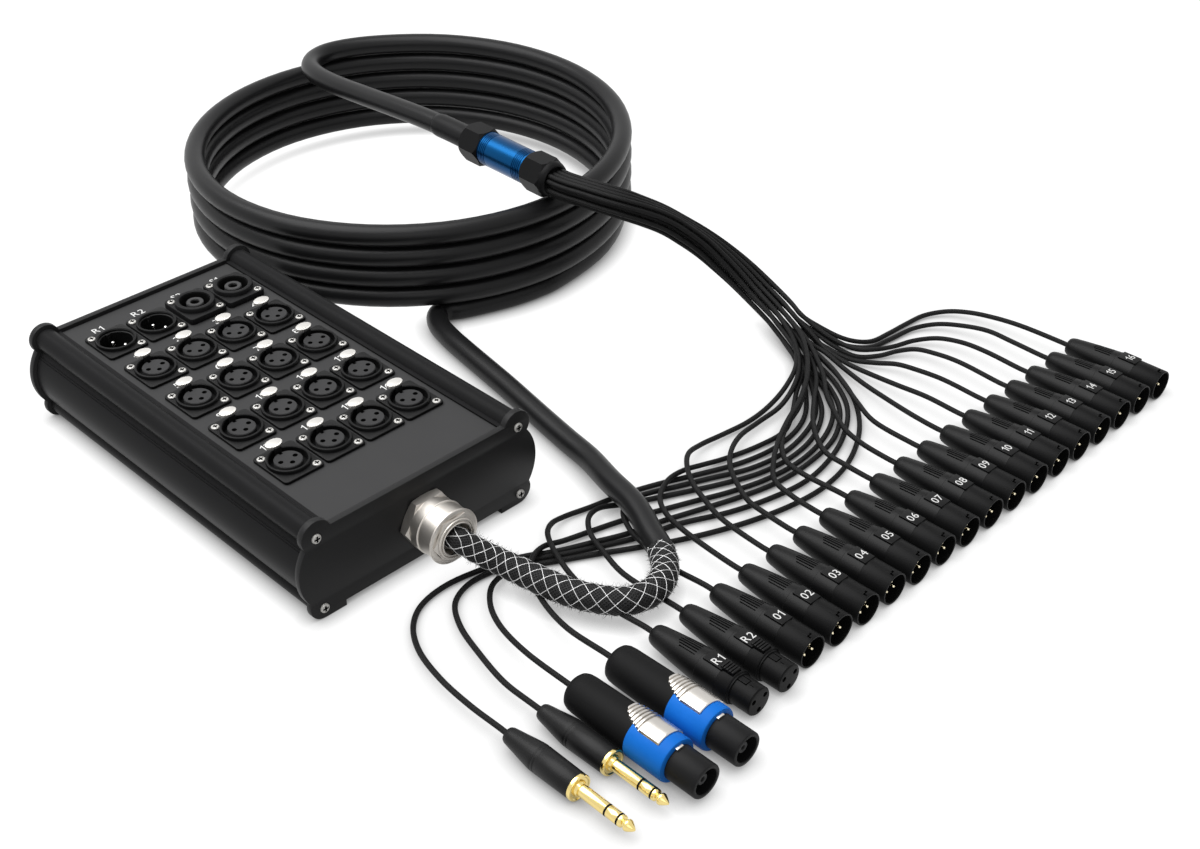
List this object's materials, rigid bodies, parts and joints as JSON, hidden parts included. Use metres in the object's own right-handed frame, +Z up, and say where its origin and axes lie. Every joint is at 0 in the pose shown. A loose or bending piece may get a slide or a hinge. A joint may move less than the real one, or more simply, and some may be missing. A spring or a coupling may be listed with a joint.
{
  "type": "stage box snake",
  "caption": "Metal stage box with panel sockets on top, a gland and coiled multicore cable leading to a breakout and a fan of tails with line plugs, laid out flat.",
  "frame": {"origin": "bottom centre of the box, on the surface that its runners stand on", "axes": "+Z up, +Y from the cable gland end of the box to its rear end, +X across the box towards the coil"},
  "size_m": [0.5139, 0.6922, 0.101],
  "materials": {
    "case": "black anodised, satin",
    "end_plates": "black anodised, satin",
    "panel": "black anodised, matt",
    "sockets": "black chrome over die cast metal",
    "push_tabs": "bright nickel",
    "gland": "nickel plated brass",
    "wire_sock": "woven wire over black fibre",
    "cable_jacket": "smooth satin",
    "breakout_nuts": "black anodised, satin",
    "breakout_barrel": "blue anodised, knurled rims",
    "tails": "matt, fine grained",
    "line_plugs": "black shell and boot, white number",
    "release_buttons": "black, ribbed",
    "speaker_plugs": "black sleeve and nose, blue collar",
    "thumb_latches": "bright, ribbed",
    "jack_plugs": "gold plated shaft, black sleeve"
  },
  "bodies": {
    "stage_box": {"case_body": "case", "front_end_plate": "end_plates", "rear_end_plate": "end_plates", "top_panel": "panel", "send_sockets": "sockets", "return_sockets": "sockets", "speaker_sockets": "sockets", "gland_body": "gland", "gland_nut": "gland", "gland_locknut": "gland", "cable_sock": "wire_sock", "multicore_lead": "cable_jacket", "multicore_coil": "cable_jacket", "multicore_end": "cable_jacket", "breakout_nut_in": "breakout_nuts", "breakout_barrel": "breakout_barrel", "breakout_nut_out": "breakout_nuts", "tail_loom": "tails", "send_plug_01": "line_plugs", "send_plug_02": "line_plugs", "send_plug_03": "line_plugs", "send_plug_04": "line_plugs", "send_plug_05": "line_plugs", "send_plug_06": "line_plugs", "send_plug_07": "line_plugs", "send_plug_08": "line_plugs", "send_plug_09": "line_plugs", "send_plug_10": "line_plugs", "send_plug_11": "line_plugs", "send_plug_12": "line_plugs", "send_plug_13": "line_plugs", "send_plug_14": "line_plugs", "send_plug_15": "line_plugs", "send_plug_16": "line_plugs", "return_plug_r1": "line_plugs", "return_plug_r2": "line_plugs", "speaker_plug_1": "speaker_plugs", "speaker_plug_2": "speaker_plugs", "jack_plug_1": "jack_plugs", "jack_plug_2": "jack_plugs"},
    "tab_01": {"send_latch_01": "push_tabs"},
    "tab_02": {"send_latch_02": "push_tabs"},
    "tab_03": {"send_latch_03": "push_tabs"},
    "tab_04": {"send_latch_04": "push_tabs"},
    "tab_05": {"send_latch_05": "push_tabs"},
    "tab_06": {"send_latch_06": "push_tabs"},
    "tab_07": {"send_latch_07": "push_tabs"},
    "tab_08": {"send_latch_08": "push_tabs"},
    "tab_09": {"send_latch_09": "push_tabs"},
    "tab_10": {"send_latch_10": "push_tabs"},
    "tab_11": {"send_latch_11": "push_tabs"},
    "tab_12": {"send_latch_12": "push_tabs"},
    "tab_13": {"send_latch_13": "push_tabs"},
    "tab_14": {"send_latch_14": "push_tabs"},
    "tab_15": {"send_latch_15": "push_tabs"},
    "tab_16": {"send_latch_16": "push_tabs"},
    "button_r1": {"return_latch_r1": "release_buttons"},
    "button_r2": {"return_latch_r2": "release_buttons"},
    "thumb_1": {"speaker_latch_1": "thumb_latches"},
    "thumb_2": {"speaker_latch_2": "thumb_latches"}
  },
  "joints": [
    {"name": "tab_01_push", "type": "slide", "parent": "stage_box", "child": "tab_01", "axis": [0, 0, -1], "range_m": [0, 0.0015], "stiffness_N_per_m": 800, "springref_m": -0.001},
    {"name": "tab_02_push", "type": "slide", "parent": "stage_box", "child": "tab_02", "axis": [0, 0, -1], "range_m": [0, 0.0015], "stiffness_N_per_m": 800, "springref_m": -0.001},
    {"name": "tab_03_push", "type": "slide", "parent": "stage_box", "child": "tab_03", "axis": [0, 0, -1], "range_m": [0, 0.0015], "stiffness_N_per_m": 800, "springref_m": -0.001},
    {"name": "tab_04_push", "type": "slide", "parent": "stage_box", "child": "tab_04", "axis": [0, 0, -1], "range_m": [0, 0.0015], "stiffness_N_per_m": 800, "springref_m": -0.001},
    {"name": "tab_05_push", "type": "slide", "parent": "stage_box", "child": "tab_05", "axis": [0, 0, -1], "range_m": [0, 0.0015], "stiffness_N_per_m": 800, "springref_m": -0.001},
    {"name": "tab_06_push", "type": "slide", "parent": "stage_box", "child": "tab_06", "axis": [0, 0, -1], "range_m": [0, 0.0015], "stiffness_N_per_m": 800, "springref_m": -0.001},
    {"name": "tab_07_push", "type": "slide", "parent": "stage_box", "child": "tab_07", "axis": [0, 0, -1], "range_m": [0, 0.0015], "stiffness_N_per_m": 800, "springref_m": -0.001},
    {"name": "tab_08_push", "type": "slide", "parent": "stage_box", "child": "tab_08", "axis": [0, 0, -1], "range_m": [0, 0.0015], "stiffness_N_per_m": 800, "springref_m": -0.001},
    {"name": "tab_09_push", "type": "slide", "parent": "stage_box", "child": "tab_09", "axis": [0, 0, -1], "range_m": [0, 0.0015], "stiffness_N_per_m": 800, "springref_m": -0.001},
    {"name": "tab_10_push", "type": "slide", "parent": "stage_box", "child": "tab_10", "axis": [0, 0, -1], "range_m": [0, 0.0015], "stiffness_N_per_m": 800, "springref_m": -0.001},
    {"name": "tab_11_push", "type": "slide", "parent": "stage_box", "child": "tab_11", "axis": [0, 0, -1], "range_m": [0, 0.0015], "stiffness_N_per_m": 800, "springref_m": -0.001},
    {"name": "tab_12_push", "type": "slide", "parent": "stage_box", "child": "tab_12", "axis": [0, 0, -1], "range_m": [0, 0.0015], "stiffness_N_per_m": 800, "springref_m": -0.001},
    {"name": "tab_13_push", "type": "slide", "parent": "stage_box", "child": "tab_13", "axis": [0, 0, -1], "range_m": [0, 0.0015], "stiffness_N_per_m": 800, "springref_m": -0.001},
    {"name": "tab_14_push", "type": "slide", "parent": "stage_box", "child": "tab_14", "axis": [0, 0, -1], "range_m": [0, 0.0015], "stiffness_N_per_m": 800, "springref_m": -0.001},
    {"name": "tab_15_push", "type": "slide", "parent": "stage_box", "child": "tab_15", "axis": [0, 0, -1], "range_m": [0, 0.0015], "stiffness_N_per_m": 800, "springref_m": -0.001},
    {"name": "tab_16_push", "type": "slide", "parent": "stage_box", "child": "tab_16", "axis": [0, 0, -1], "range_m": [0, 0.0015], "stiffness_N_per_m": 800, "springref_m": -0.001},
    {"name": "button_r1_press", "type": "slide", "parent": "stage_box", "child": "button_r1", "axis": [0, 0, -1], "range_m": [0, 0.0012], "stiffness_N_per_m": 1000, "springref_m": -0.001},
    {"name": "button_r2_press", "type": "slide", "parent": "stage_box", "child": "button_r2", "axis": [0, 0, -1], "range_m": [0, 0.0012], "stiffness_N_per_m": 1000, "springref_m": -0.001},
    {"name": "thumb_1_slide", "type": "slide", "parent": "stage_box", "child": "thumb_1", "axis": [0, 1, 0], "range_m": [0, 0.004], "stiffness_N_per_m": 500, "springref_m": -0.001},
    {"name": "thumb_2_slide", "type": "slide", "parent": "stage_box", "child": "thumb_2", "axis": [0, 1, 0], "range_m": [0, 0.004], "stiffness_N_per_m": 500, "springref_m": -0.001}
  ]
}
